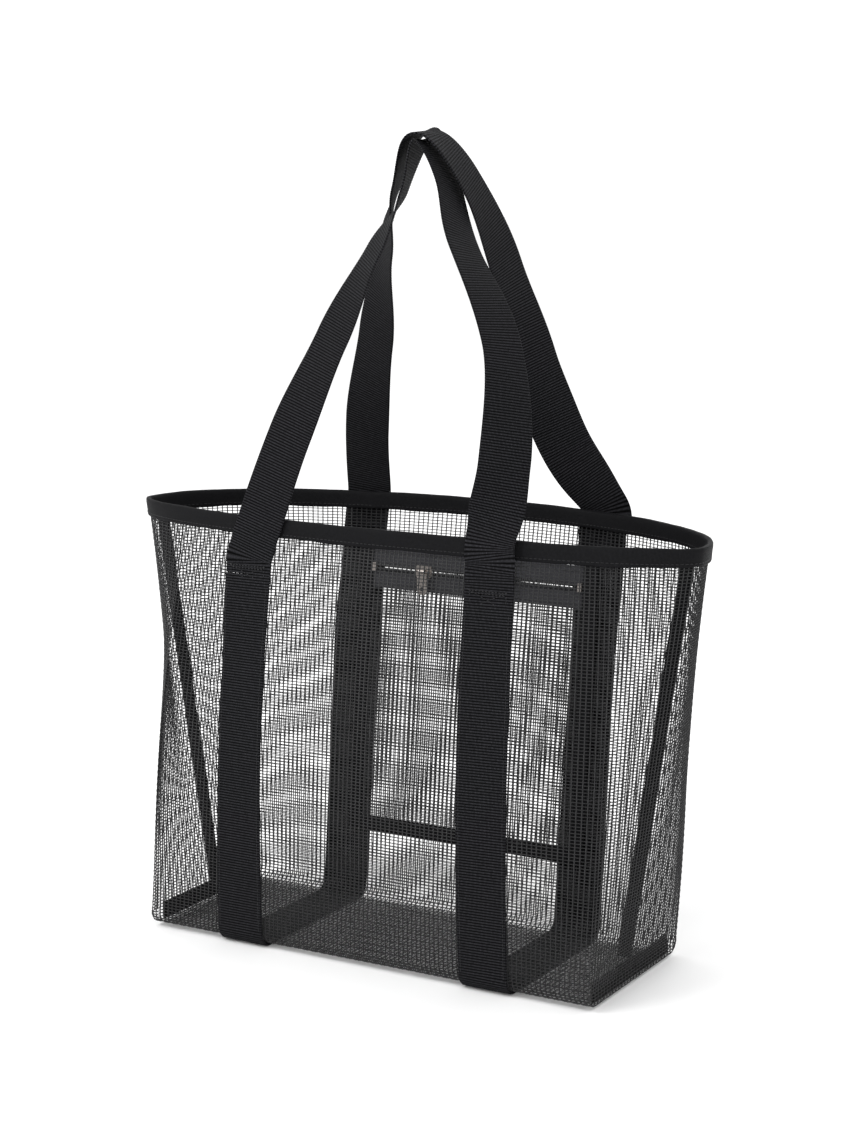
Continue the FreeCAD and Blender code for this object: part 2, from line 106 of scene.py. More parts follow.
# tapes and the pocket
BINDING_THICKNESS = 3 * MM
FIN_DEPTH = 10 * MM
CORNER_FOLD = 13 * MM
POCKET_DEPTH = 212 * MM
POCKET_TAPE_THICKNESS = 2 * MM
POCKET_CROWN = 1 * MM
TUCK = 2 * MM
ZIP_TAPE_WIDTH = 15 * MM
ZIP_TAPE_THICKNESS = 0.6 * MM
CLOTH_MIDDLE = ZIP_TAPE_THICKNESS / 2

COIL_OFFSET = 1.45 * MM
COIL_HEIGHT = 1.5 * MM

# stitches and turns of coil as beads: radii across, across and along their line
STITCH = (0.26 * MM, 0.26 * MM, 1.3 * MM)
BOX_STITCH = (0.3 * MM, 0.3 * MM, 1.05 * MM)
COIL_TURN = (1.45 * MM, 0.85 * MM, 0.5 * MM)
BOX_STITCH_PITCH = 2.4 * MM
STITCH_INSET = 2.4 * MM
STRAP_STITCHES = (14 * MM, 252 * MM)


# ---- sizes and colours a user would change


def length(name, description, millimetres):
    value = millimetres * MM
    return FloatProperty(name=name, description=description, default=value, unit="LENGTH")


def colour(name, description, value):
    return FloatVectorProperty(name=name, description=description, default=value, subtype="COLOR")


class BagSettings(bpy.types.PropertyGroup):
    cell_width: length("Cell width", "Netting pitch along the bag", 3.5)
    cell_height: length("Cell height", "Netting pitch up the bag", 2.25)
    upright_radius: length("Upright radius", "Radius of the upright threads", 0.46)
    level_radius: length("Level radius", "Radius of the level threads", 0.3)
    crimp: length("Crimp", "How far threads weave in and out", 0.2)
    rib_pitch: length("Rib pitch", "Spacing of the webbing's ribs", 1.9)
    rib_height: length("Rib height", "Height of the webbing's ribs", 0.22)
    stitch_pitch: length("Stitch pitch", "Length of one stitch", 3.2)
    coil_pitch: length("Coil pitch", "Spacing of the zip coil's turns", 1.5)
    seed: IntProperty(name="Seed", description="Seed for the ripples of the bindings", default=7)
    netting_colour: colour("Netting", "Coated thread", (0.011, 0.011, 0.012))
    webbing_colour: colour("Webbing", "Woven straps", (0.0042, 0.0042, 0.0047))
    binding_colour: colour("Binding", "Folded tape", (0.005, 0.005, 0.0056))
    metal_colour: colour("Metal", "Zip slider and tab", (0.33, 0.30, 0.28))


# ---- the wall: from the rectangular base to the two half-ellipses of the rim, a little full


def distances(points):
    """The distance along a line of points to each of them."""
    return np.concatenate([[0], np.cumsum(np.linalg.norm(np.diff(points, axis=0), axis=1))])


def along_polyline(points, fractions):
    """Points at fractions of a polyline's length, as an array."""
    total = distances(points)
    wanted = np.asarray(fractions) * total[-1]
    return np.stack([np.interp(wanted, total, points[:, k]) for k in range(2)], axis=1)


CORNER = HALF_WIDTH / (2 * HALF_WIDTH + 2 * HALF_LENGTH)


def fullness(side, fractions, share):
    """How far the wall stands out from straight lines, as an array [height, fraction, xy]."""
    fractions = np.asarray(fractions)
    from_seam = np.minimum(fractions, 1 - fractions)
    along = np.clip((from_seam - CORNER) / (END_REACH - CORNER), 0, 1)
    fade = np.clip(from_seam / SEAM_FADE, 0, 1)
    amount = (END_FULLNESS + (FULLNESS[side] - END_FULLNESS) * along) * fade * fade * (3 - 2 * fade)
    turn = np.clip((from_seam - CORNER_TURN_START) / CORNER_TURN_RUN, 0, 1) * math.pi / 2
    way = np.where(fractions < 0.5, -1, 1)
    push = np.stack([way * np.cos(turn), side * np.sin(turn)], axis=1) * amount[:, None]
    return push[None] * np.sin(math.pi * np.clip(share, 0, 1))


def wall(side, fractions, heights, offset=0.0):
    """The wall's surface on one side (-1 front, 1 back) as an array [height, fraction, xyz]."""
    x, y = HALF_LENGTH + offset, side * (HALF_WIDTH + offset)
    low = along_polyline(np.array([[-x, 0], [-x, y], [x, y], [x, 0]]), fractions)
    turns = np.linspace(0, math.pi, 241)
    a, b = RIM_HALF + offset, side * (RIM_DEPTH[side] + offset)
    high = along_polyline(np.stack([-a * np.cos(turns), b * np.sin(turns)], axis=1), fractions)
    heights = np.asarray(heights, float)
    share = ((heights - WALL_START) / (RIM_HEIGHT - WALL_START))[:, None, None]
    flat = low[None] + (high - low)[None] * share + fullness(side, fractions, share)
    level = np.broadcast_to(heights[:, None, None], flat.shape[:2] + (1,))
    grid = np.concatenate([flat, level], axis=2)
    grid[:, :, 1] += SEAM_Y
    return grid


def wall_y(side, x, height, offset=0.0):
    """Where the wall's surface is at a place along the front or back."""
    fractions = np.linspace(CORNER, 1 - CORNER, 161)
    row = wall(side, fractions, [height], offset)[0]
    return float(np.interp(x, row[:, 0], row[:, 1]))


def outward(grid):
    """Unit normals of a grid of points, pointing away from the middle of the bag."""
    normal = np.cross(np.gradient(grid, axis=1), np.gradient(grid, axis=0))
    normal /= np.maximum(np.linalg.norm(normal, axis=2, keepdims=True), 1e-12)
    away = grid - np.array([0, SEAM_Y, HALFWAY_UP])
    flip = np.sign((normal * away).sum(axis=2, keepdims=True))
    return normal * np.where(flip == 0, 1, flip)


# ---- making meshes


def add_object(name, mesh):
    piece = bpy.data.objects.new(name, mesh)
    bpy.context.scene.collection.objects.link(piece)
    return piece


def mesh_object(name, points, faces, edges=()):
    mesh = bpy.data.meshes.new(name)
    mesh.from_pydata([tuple(map(float, p)) for p in points], list(edges), list(faces))
    mesh.update()
    return add_object(name, mesh)


def ring_faces(count, size, closed=False):
    """Faces between rings of points, with the last ring joined to the first or both capped."""
    numbers = np.arange(count * size).reshape(count, size)
    one = numbers if closed else numbers[:-1]
    two = np.roll(numbers, -1, 0) if closed else numbers[1:]
    quads = np.stack([one, np.roll(one, -1, 1), np.roll(two, -1, 1), two], axis=2).reshape(-1, 4)
    caps = [] if closed else [numbers[0][::-1].tolist(), numbers[-1].tolist()]
    return quads.tolist() + caps


def set_attribute(mesh, name, kind, values, domain="POINT"):
    attribute = mesh.attributes.new(name, kind, domain)
    key = "vector" if kind == "FLOAT_VECTOR" else "value"
    attribute.data.foreach_set(key, np.asarray(values, np.float32).ravel())


def smooth(piece):
    piece.data.polygons.foreach_set("use_smooth", [True] * len(piece.data.polygons))


def place(piece, body, slot, *nodes):
    """Tie a finished piece to its body and hide the plain nodes it stands for; slot is not used."""
    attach(piece, body)
    if nodes:
        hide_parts(*nodes)
    return piece


def net_object(name, grids):
    """Crossing points and the threads between them; edges know if they run up (1) or along (0)."""
    points, outs, weave, edges, upright = [], [], [], [], []
    start = 0
    for grid in grids:
        rows, columns = grid.shape[:2]
        numbers = start + np.arange(rows * columns).reshape(rows, columns)
        ups = np.stack([numbers[:-1].ravel(), numbers[1:].ravel()], axis=1)
        levels = np.stack([numbers[:, :-1].ravel(), numbers[:, 1:].ravel()], axis=1)
        edges += [ups, levels]
        upright += [np.ones(len(ups)), np.zeros(len(levels))]
        points.append(grid.reshape(-1, 3))
        outs.append(outward(grid).reshape(-1, 3))
        row, column = np.indices((rows, columns))
        weave.append(np.where((row + column) % 2, 1.0, -1.0).ravel())
        start += rows * columns
    piece = mesh_object(name, np.concatenate(points), [], np.concatenate(edges).tolist())
    set_attribute(piece.data, "out", "FLOAT_VECTOR", np.concatenate(outs))
    set_attribute(piece.data, "weave", "FLOAT", np.concatenate(weave))
    set_attribute(piece.data, "upright", "FLOAT", np.concatenate(upright), "EDGE")
    return piece


# ---- geometry node trees


class NodeMaker:
    """Adds nodes to a tree, with each input given as a link or as a plain value."""

    def __init__(self, tree):
        self.nodes, self.links = tree.nodes, tree.links

    def add(self, kind, inputs=None, **settings):
        node = self.nodes.new(kind)
        for key, value in settings.items():
            setattr(node, key, value)
        for key, value in (inputs or {}).items():
            if isinstance(value, bpy.types.NodeSocket):
                self.links.new(value, node.inputs[key])
            else:
                node.inputs[key].default_value = value
        return node

    def math(self, operation, one, two=0.0):
        return self.add("ShaderNodeMath", {0: one, 1: two}, operation=operation).outputs[0]


class Tree(NodeMaker):
    """A geometry node tree with named inputs."""

    def __init__(self, name, inputs):
        self.group = bpy.data.node_groups.new(name, "GeometryNodeTree")
        super().__init__(self.group)
        face = self.group.interface
        face.new_socket("Geometry", in_out="INPUT", socket_type="NodeSocketGeometry")
        for label, kind, value in inputs:
            socket = face.new_socket(label, in_out="INPUT", socket_type="NodeSocket" + kind)
            if value is not None:
                socket.default_value = value
        face.new_socket("Geometry", in_out="OUTPUT", socket_type="NodeSocketGeometry")
        self.start = self.nodes.new("NodeGroupInput")
        self.end = self.nodes.new("NodeGroupOutput")

    def given(self, label):
        return self.start.outputs[label]

    def attribute(self, name, kind):
        node = self.add("GeometryNodeInputNamedAttribute", {"Name": name}, data_type=kind)
        return [s for s in node.outputs if s.name == "Attribute" and s.enabled][0]

    def push(self, geometry, direction, distance):
        offset = self.add("ShaderNodeVectorMath", {0: direction, "Scale": distance}, operation="SCALE")
        moved = self.add("GeometryNodeSetPosition", {"Geometry": geometry, "Offset": offset.outputs[0]})
        return moved.outputs[0]

    def finish(self, geometry):
        """Smooth, real and with its material, as every tree ends."""
        soft = self.add("GeometryNodeSetShadeSmooth", {"Geometry": geometry})
        real = self.add("GeometryNodeRealizeInstances", {"Geometry": soft.outputs[0]})
        done = self.add(
            "GeometryNodeSetMaterial", {"Geometry": real.outputs[0], "Material": self.given("Material")}
        )
        self.links.new(done.outputs[0], self.end.inputs["Geometry"])
        return self.group


def grow(piece, group, **values):
    """Run a tree on a piece and keep the result as its plain mesh."""
    modifier = piece.modifiers.new(group.name, "NODES")
    modifier.node_group = group
    for item in group.interface.items_tree:
        key = item.name.lower().replace(" ", "_")
        if item.in_out == "INPUT" and key in values:
            modifier[item.identifier] = values[key]
    depsgraph = bpy.context.evaluated_depsgraph_get()
    result = bpy.data.meshes.new_from_object(piece.evaluated_get(depsgraph), depsgraph=depsgraph)
    piece.modifiers.clear()
    old = piece.data
    piece.data = result
    result.name = piece.name
    bpy.data.meshes.remove(old)
    return piece


def thread_tree():
    """Threads of one direction, woven in and out at the crossings."""
    tree = Tree(
        "Netting threads",
        [
            ("Upright", "Float", 1.0),
            ("Radius", "Float", 0.5 * MM),
            ("Crimp", "Float", 0.2 * MM),
            ("Material", "Material", None),
        ],
    )
    weave, out = tree.attribute("weave", "FLOAT"), tree.attribute("out", "FLOAT_VECTOR")
    upright = tree.attribute("upright", "FLOAT")
    waved = tree.push(tree.given("Geometry"), out, tree.math("MULTIPLY", weave, tree.given("Crimp")))
    other = tree.math("SUBTRACT", upright, tree.given("Upright"))
    unwanted = tree.math("GREATER_THAN", tree.math("ABSOLUTE", other), 0.5)
    left = tree.add(
        "GeometryNodeDeleteGeometry", {"Geometry": waved, "Selection": unwanted}, domain="EDGE"
    )
    lines = tree.add("GeometryNodeMeshToCurve", {"Mesh": left.outputs[0]})
    ring = tree.add("GeometryNodeCurvePrimitiveCircle", {"Resolution": 4, "Radius": tree.given("Radius")})
    tubes = tree.add(
        "GeometryNodeCurveToMesh",
        {"Curve": lines.outputs[0], "Profile Curve": ring.outputs[0], "Fill Caps": True},
    )
    return tree.finish(tubes.outputs[0])


def crossing_tree():
    """The lump of coating where an upright thread and a level one are fused."""
    tree = Tree("Netting crossings", [("Radius", "Float", 0.6 * MM), ("Material", "Material", None)])
    lump = tree.add(
        "GeometryNodeMeshUVSphere", {"Segments": 4, "Rings": 2, "Radius": tree.given("Radius")}
    )
    points = tree.add("GeometryNodeMeshToPoints", {"Mesh": tree.given("Geometry")})
    lumps = tree.add(
        "GeometryNodeInstanceOnPoints", {"Points": points.outputs[0], "Instance": lump.outputs[0]}
    )
    return tree.finish(lumps.outputs[0])


def bead_tree(name):
    """Long beads laid end to end along lines: stitches, or the turns of a zip coil."""
    tree = Tree(
        name,
        [
            ("Pitch", "Float", 3 * MM),
            ("Size", "Vector", (0.3 * MM, 0.3 * MM, 1.3 * MM)),
            ("Material", "Material", None),
        ],
    )
    lines = tree.add("GeometryNodeMeshToCurve", {"Mesh": tree.given("Geometry")})
    spaced = tree.add(
        "GeometryNodeResampleCurve",
        {"Curve": lines.outputs[0], "Length": tree.given("Pitch")},
        mode="LENGTH",
    )
    bead = tree.add("GeometryNodeMeshUVSphere", {"Segments": 6, "Rings": 4, "Radius": 1.0})
    tangent = tree.add("GeometryNodeInputTangent").outputs[0]
    turned = tree.add("FunctionNodeAlignRotationToVector", {"Vector": tangent}, axis="Z")
    beads = tree.add(
        "GeometryNodeInstanceOnPoints",
        {
            "Points": spaced.outputs[0],
            "Instance": bead.outputs[0],
            "Rotation": turned.outputs[0],
            "Scale": tree.given("Size"),
        },
    )
    return tree.finish(beads.outputs[0])


def rib_tree():
    """Raises the ribs that the filling threads make across woven webbing or tape."""
    tree = Tree(
        "Woven ribs",
        [
            ("Pitch", "Float", 1.9 * MM),
            ("Height", "Float", 0.2 * MM),
            ("Material", "Material", None),
        ],
    )
    run, out = tree.attribute("run", "FLOAT"), tree.attribute("out", "FLOAT_VECTOR")
    phase = tree.math("DIVIDE", tree.math("MULTIPLY", run, math.pi), tree.given("Pitch"))
    lift = tree.math("ABSOLUTE", tree.math("SINE", phase))
    high = tree.math("MULTIPLY", tree.math("SUBTRACT", lift, 0.6), tree.given("Height"))
    return tree.finish(tree.push(tree.given("Geometry"), out, high))


# ---- materials


class Shader(NodeMaker):
    """A procedural material round one Principled shader."""

    def __init__(self, name, colour, roughness, **sockets):
        self.material = bpy.data.materials.new(name)
        self.material.use_nodes = True
        super().__init__(self.material.node_tree)
        self.shader = self.nodes["Principled BSDF"]
        self.shader.inputs["Base Color"].default_value = (*colour, 1)
        self.shader.inputs["Roughness"].default_value = roughness
        for key, value in sockets.items():
            self.shader.inputs[key.replace("_", " ")].default_value = value
        self.colour = colour
        self.normal = None

    def coordinates(self, kind="Object"):
        return self.add("ShaderNodeTexCoord").outputs[kind]

    def uv_part(self, axis):
        split = self.add("ShaderNodeSeparateXYZ", {0: self.coordinates("UV")})
        return split.outputs[axis]

    def noise(self, scale, detail=3.0):
        inputs = {"Vector": self.coordinates(), "Scale": scale, "Detail": detail}
        return self.add("ShaderNodeTexNoise", inputs).outputs["Fac"]

    def ridges(self, run, pitch):
        """Rounded ridges across a distance in metres, from 0 in a groove to 1 on a ridge."""
        phase = self.math("MULTIPLY", run, math.pi / pitch)
        return self.math("ABSOLUTE", self.math("SINE", phase))

    def between(self, low, high, share):
        """A value that goes from low to high as share goes from 0 to 1."""
        node = self.add("ShaderNodeMapRange", {"Value": share, "To Min": low, "To Max": high})
        return node.outputs[0]

    def tint(self, share, low, high):
        """Colour that goes from low to high times the material's own, by share."""
        node = self.add("ShaderNodeMix", {"Factor": share}, data_type="RGBA")
        node.inputs[6].default_value = (*(c * low for c in self.colour), 1)
        node.inputs[7].default_value = (*(c * high for c in self.colour), 1)
        self.links.new(node.outputs[2], self.shader.inputs["Base Color"])

    def rough(self, low, high, share):
        self.links.new(self.between(low, high, share), self.shader.inputs["Roughness"])

    def bump(self, height, distance, strength=1.0):
        inputs = {"Height": height, "Distance": distance, "Strength": strength}
        if self.normal is not None:
            inputs["Normal"] = self.normal
        self.normal = self.add("ShaderNodeBump", inputs).outputs[0]
        self.links.new(self.normal, self.shader.inputs["Normal"])


def netting_material(settings):
    """Polyester thread in a glossy plastic coat."""
    made = Shader("coated_netting", settings.netting_colour, 0.34, Specular_IOR_Level=0.35)
    made.tint(made.noise(60), 0.5, 1.4)
    made.rough(0.24, 0.45, made.noise(220))
    made.bump(made.noise(1600, 2), 0.12 * MM, 0.5)
    return made.material


def webbing_material(settings):
    """Ribbed polyester webbing: ribs across, fine warp along, a little fuzz, and painted highlights on
    the ridges with painted shade in the grooves.
    """
    made = Shader("black_webbing", settings.webbing_colour, 0.68, Specular_IOR_Level=0.03)
    across, run = made.uv_part(0), made.uv_part(1)
    warp = made.ridges(across, 0.95 * MM)
    rib = made.ridges(run, settings.rib_pitch)
    both = made.math("MULTIPLY", warp, made.math("MULTIPLY", rib, rib))
    fuzz = made.noise(900, 4)
    # painted highlight and shade: the colour runs from black in the grooves to 16 times the webbing
    # colour where warp and rib ridges meet, broken up by fuzz
    made.tint(made.math("MULTIPLY", both, fuzz), 0.0, 16.0)
    made.rough(0.5, 0.78, fuzz)
    made.bump(warp, 0.22 * MM, 0.8)
    made.bump(made.noise(2600, 2), 0.08 * MM, 0.5)
    return made.material


def binding_material(settings):
    """Folded grosgrain tape: close ribs across it and a satin face."""
    made = Shader("binding_tape", settings.binding_colour, 0.6, Specular_IOR_Level=0.05)
    rib = made.ridges(made.uv_part(1), 0.8 * MM)
    fuzz = made.noise(700, 4)
    # painted highlight and shade: the colour is lighter on the ribs' ridges and darker in their grooves,
    # broken up by fuzz
    made.tint(made.math("MULTIPLY", rib, fuzz), 0.5, 3.0)
    made.rough(0.4, 0.66, fuzz)
    made.bump(rib, 0.16 * MM, 0.8)
    made.bump(made.noise(90, 2), 0.8 * MM, 0.35)
    return made.material


def zip_tape_material(settings):
    """Woven zip tape with a fine herringbone."""
    made = Shader("zip_tape", settings.binding_colour, 0.66, Specular_IOR_Level=0.04)
    across, run = made.uv_part(0), made.uv_part(1)
    fold = made.math("PINGPONG", across, 2.2 * MM)
    slant = made.ridges(made.math("ADD", run, fold), 0.9 * MM)
    # painted highlight and shade: the colour is lighter on the herringbone's ridges and darker between
    # them, broken up by noise
    made.tint(made.math("MULTIPLY", slant, made.noise(900)), 0.5, 3.2)
    made.bump(slant, 0.12 * MM, 0.8)
    return made.material


def thread_material(settings):
    made = Shader("sewing_thread", settings.webbing_colour, 0.5, Specular_IOR_Level=0.3)
    made.tint(made.noise(1400), 1.0, 3.0)
    made.rough(0.35, 0.6, made.noise(900))
    return made.material


def coil_material(settings):
    made = Shader("nylon_coil", (0.02, 0.02, 0.021), 0.36, Specular_IOR_Level=0.5)
    made.tint(made.noise(500), 0.8, 1.8)
    made.rough(0.28, 0.46, made.noise(900))
    return made.material


def metal_material(settings):
    """Dull plated zinc with fine rubs and a tone that varies at random."""
    made = Shader("gunmetal", settings.metal_colour, 0.34, Metallic=1.0)
    made.tint(made.noise(420, 5), 0.65, 1.3)
    made.rough(0.24, 0.5, made.noise(1500, 3))
    made.bump(made.noise(2200, 3), 0.05 * MM, 0.5)
    return made.material


MATERIALS = {
    "coated_netting": netting_material,
    "black_webbing": webbing_material,
    "binding_tape": binding_material,
    "zip_tape": zip_tape_material,
    "sewing_thread": thread_material,
    "nylon_coil": coil_material,
    "gunmetal": metal_material,
}


def material(name):
    """The finish of that name, made once."""
    found = bpy.data.materials.get(name)
    return found or MATERIALS[name](bpy.context.scene.beach_bag)


# ---- netting


def slack(grid, fractions, strap_places):
    """How far the loose netting falls in from the wall, at each crossing."""
    x, z = grid[:, :, 0], grid[:, :, 2]
    up = (z - WALL_START) / (RIM_HEIGHT - WALL_START)
    free = np.clip(np.sin(math.pi * np.clip(up, 0, 1)), 0, 1) ** 0.7
    held, ease = WEBBING_WIDTH / 2 + 3 * MM, 34 * MM
    for strap in strap_places:
        clear = np.clip((np.abs(x - strap) - held) / ease, 0, 1)
        free = free * clear * clear * (3 - 2 * clear)
    f = np.asarray(fractions)[None, :]
    for corner in (0.0, 1.0):
        near = np.clip(np.abs(f - corner) / 0.05, 0, 1)
        free = free * (1 - (1 - near * near) * np.clip(1.25 - up, 0, 1))
    wave = 0.55 + 0.3 * np.sin(x * 61 + 4.1 * up + 0.6) + 0.15 * np.sin(x * 137 - 7.3 * up)
    return SLACK * free * wave


def panel_grids(side):
    """Thread crossings of the front (-1) or back (1) panel, seam to seam."""
    settings = bpy.context.scene.beach_bag
    ends = max(4, round(HALF_WIDTH / settings.cell_width))
    middle = max(8, round(2 * HALF_LENGTH / settings.cell_width))
    fractions = np.concatenate(
        [
            np.linspace(0, CORNER, ends + 1)[:-1],
            np.linspace(CORNER, 1 - CORNER, middle + 1)[:-1],
            np.linspace(1 - CORNER, 1, ends + 1),
        ]
    )
    rows = round((RIM_HEIGHT - WALL_START) / settings.cell_height)
    heights = np.linspace(WALL_START, RIM_HEIGHT - TUCK, rows + 1)
    grid = wall(side, fractions, heights, -PANEL / 2)
    places = [hand * strap_x(side, HALFWAY_UP, hand) for hand in (-1, 1)]
    inward = slack(grid, fractions, places)
    grid = grid - outward(grid) * inward[:, :, None]
    return [grid]


def base_grids():
    """Crossings of the base: rounded up to the walls along its length, boxed at its ends."""
    settings = bpy.context.scene.beach_bag
    radius = EDGE_RADIUS - PANEL / 2
    low = BASE[0].z + PANEL / 2
    flat = HALF_WIDTH - EDGE_RADIUS
    turns = np.linspace(0, math.pi / 2, 7)
    arc_y, arc_z = flat + radius * np.cos(turns), WALL_START - radius * np.sin(turns)
    inner = np.linspace(flat, -flat, round(2 * flat / settings.cell_height) + 1)[1:-1]
    y = np.concatenate([-arc_y, -inner, arc_y[::-1]])
    z = np.concatenate([arc_z, np.full(len(inner), low), arc_z[::-1]])
    end = HALF_LENGTH - PANEL / 2
    x = np.linspace(-end, end, round(2 * end / settings.cell_width) + 1)
    under = np.zeros((len(y), len(x), 3))
    under[:, :, 0], under[:, :, 1], under[:, :, 2] = x[None], y[:, None] + SEAM_Y, z[:, None]
    grids = [under]
    for side in (-1, 1):
        levels = np.linspace(0, 1, 5)[:, None]
        strip = np.zeros((5, len(y[::2]), 3))
        strip[:, :, 0] = side * end
        strip[:, :, 1] = y[::2][None] + SEAM_Y
        strip[:, :, 2] = z[::2][None] + (WALL_START - z[::2][None]) * levels
        grids.append(strip)
    return grids


def make_netting(name, grids, nodes):
    """Upright threads, level threads and the crossings of one panel."""
    settings = bpy.context.scene.beach_bag
    coat = material("coated_netting")
    threads = thread_tree()
    for part, upright, radius in (
        ("uprights", 1.0, settings.upright_radius),
        ("levels", 0.0, settings.level_radius),
    ):
        piece = net_object(f"{name}_{part}", grids)
        grow(piece, threads, upright=upright, radius=radius, crimp=settings.crimp, material=coat)
        place(piece, "root", "netting", *(nodes if upright else ()))
    piece = net_object(f"{name}_crossings", grids)
    grow(piece, crossing_tree(), radius=settings.upright_radius * 1.25, material=coat)
    place(piece, "root", "netting")


# ---- webbing


def strap_x(side, height, hand):
    """Distance from the bag's middle of the left (-1) or right (1) strap, front or back."""
    head = STRAP_HEAD[side, hand]
    return STRAP_FOOT + (head - STRAP_FOOT) * (height - WALL_START) / (RIM_HEIGHT - WALL_START)


def leg_plane(side, height):
    """One plane clear of the wall for both legs of a side, square to the bag."""
    inner = min(strap_x(side, height, hand) for hand in (-1, 1)) - WEBBING_WIDTH / 2
    return wall_y(side, inner, height) + side * (CLEARANCE + WEBBING_THICKNESS / 2)


def leg_station(side, height, hand):
    """Middle and width direction of a strap leg, which squares up below its handle."""
    x = hand * strap_x(side, height, hand)
    one, two = (wall_y(side, x + way * WEBBING_WIDTH / 2, height) for way in (-1, 1))
    slope = math.atan2(two - one, WEBBING_WIDTH)
    furthest = max(side * wall_y(side, x, height), side * (one + two) / 2)
    follow = side * (furthest + CLEARANCE + WEBBING_THICKNESS / 2)
    squared = min(1, max(0, (height - SQUARING_START) / SQUARING_RUN))
    slope *= 1 - squared
    y = follow + (leg_plane(side, height) - follow) * squared
    return (x, y, height), (math.cos(slope), math.sin(slope), 0)


def strap_route(hand):
    """A whole strap: down the front, round under the base and up the back."""
    squared = np.linspace(BOX_STITCH_HEIGHT, SQUARING_START, 14)
    heights = np.concatenate([squared, np.linspace(SQUARING_START - 8 * MM, STRAP_LOW, 16)])
    route = [leg_station(-1, height, hand) for height in heights]
    bend = EDGE_RADIUS + CLEARANCE + WEBBING_THICKNESS / 2
    flat = HALF_WIDTH - EDGE_RADIUS
    for side, turns in ((-1, range(0, 91, 6)), (1, range(90, -1, -6))):
        for turn in turns:
            a = math.radians(turn)
            y = SEAM_Y + side * (flat + bend * math.cos(a))
            x = hand * STRAP_FOOT
            route.append(((x, y, WALL_START - bend * math.sin(a)), (1, 0, 0)))
    route += [leg_station(1, height, hand) for height in heights[::-1]]
    return route


# Each handle's route: place of the webbing's middle and how far its width has turned, in
# millimetres and degrees, up the left leg, over the top and down the right leg. Slant is how
# fast the left leg moves inward above its hinge.
HANDLES = {
    "front_handle": {
        "side": -1,
        "slant": 0.3,
        "left": [(-73, -36, 360, -4), (-50, -18, 425, -20), (-25, -5, 483, -42), (-6, 4, 524, -68)],
        "top": (4, 12, 557, -82),
        "right": [(25, 10, 528, -84), (45, -4, 487, -90), (79, -15, 427, -104), (94, -38, 350, -130)],
    },
    "back_handle": {
        "side": 1,
        "slant": 0,
        "left": [(-86, 86, 353, -4), (-65, 64, 418, -20), (-45, 45, 483, -45), (-24, 29, 532, -70)],
        "top": (4, 15, 562.5, -82),
        "right": [(31, 29, 530, -86), (46, 54, 470, -98), (59, 70, 408, -118), (73, 93, 345, -150)],
    },
}


def smooth_curve(points, steps):
    """A cubic curve through the points, with no bend at its ends."""
    points = np.asarray(points, float)
    count = len(points)
    system = np.eye(count)
    right = np.zeros_like(points)
    for i in range(1, count - 1):
        system[i, i - 1 : i + 2] = (1, 4, 1)
        right[i] = 6 * (points[i - 1] - 2 * points[i] + points[i + 1])
    bend = np.linalg.solve(system, right)
    stage = np.arange((count - 1) * steps + 1) / steps
    low = np.minimum(stage.astype(int), count - 2)
    b = (stage - low)[:, None]
    a = 1 - b
    flat = a * points[low] + b * points[low + 1]
    return stage, flat + ((a**3 - a) * bend[low] + (b**3 - b) * bend[low + 1]) / 6


def handle_route(name):
    """A whole loop, from inside its left stitching over the top to its right stitching."""
    spec = HANDLES[name]
    side = spec["side"]
    start = HINGE_HEIGHT + HINGE_GAP_ABOVE
    # heights, and how many millimetres a leg stands off its plane at each
    rises = ((BOX_STITCH_HEIGHT, 0), (HINGE_HEIGHT - HINGE_GAP_BELOW, 0), (start, 0.4))
    rises += ((start + 7 * MM, 1), (start + 15 * MM, 2), (RIM_HEIGHT + 4 * MM, 2))
    points, turns = [], []

    def add_leg(hand, turn, order):
        for height, off in order:
            y = leg_plane(side, height) + side * off * MM
            x = hand * strap_x(side, height, hand)
            if hand < 0:
                x += spec["slant"] * max(0, height - start)
            points.append((x, y, height))
            turns.append(turn)

    add_leg(-1, 0, rises)
    for x, y, z, turn in spec["left"] + [spec["top"]] + spec["right"]:
        points.append((x * MM, y * MM + SEAM_Y, z * MM))
        turns.append(turn)
    add_leg(1, -180, rises[::-1])
    stage, line = smooth_curve(points, 24)
    low = np.minimum(stage.astype(int), len(turns) - 2)
    share = stage - low
    share = share * share * (3 - 2 * share)
    turns = np.radians(np.asarray(turns, float))
    turn = turns[low] + (turns[low + 1] - turns[low]) * share
    near_top = np.maximum(0, 1 - (spec["top"][2] * MM - line[:, 2]) / LEAN_REACH)
    across = np.stack([np.cos(turn), np.sin(turn), TOP_LEAN * near_top], axis=1)
    return list(zip(line, across))


def evenly(route, step):
    """The route's middles, widths and thickness directions at equal steps, and the distance run."""
    line = np.array([middle for middle, _ in route], float)
    across = np.array([wide for _, wide in route], float)
    run = distances(line)
    keep = np.concatenate([[True], np.diff(run) > 1e-7])
    run, line, across = run[keep], line[keep], across[keep]
    count = round(run[-1] / step)
    wanted = np.linspace(0, run[-1], count + 1)
    line = np.stack([np.interp(wanted, run, line[:, k]) for k in range(3)], axis=1)
    across = np.stack([np.interp(wanted, run, across[:, k]) for k in range(3)], axis=1)
    along = np.gradient(line, axis=0)
    along /= np.linalg.norm(along, axis=1, keepdims=True)
    across -= along * (across * along).sum(axis=1, keepdims=True)
    across /= np.linalg.norm(across, axis=1, keepdims=True)
    through = np.cross(along, across)
    return line, across, through, wanted


# Half a section of webbing: share of the half width, share of the half thickness.
WEBBING_SECTION = (
    (1.0, 0.0), (0.985, 0.62), (0.955, 0.95), (0.91, 1.0), (0.7, 1.0), (0.35, 1.0), (0.0, 1.0),
)


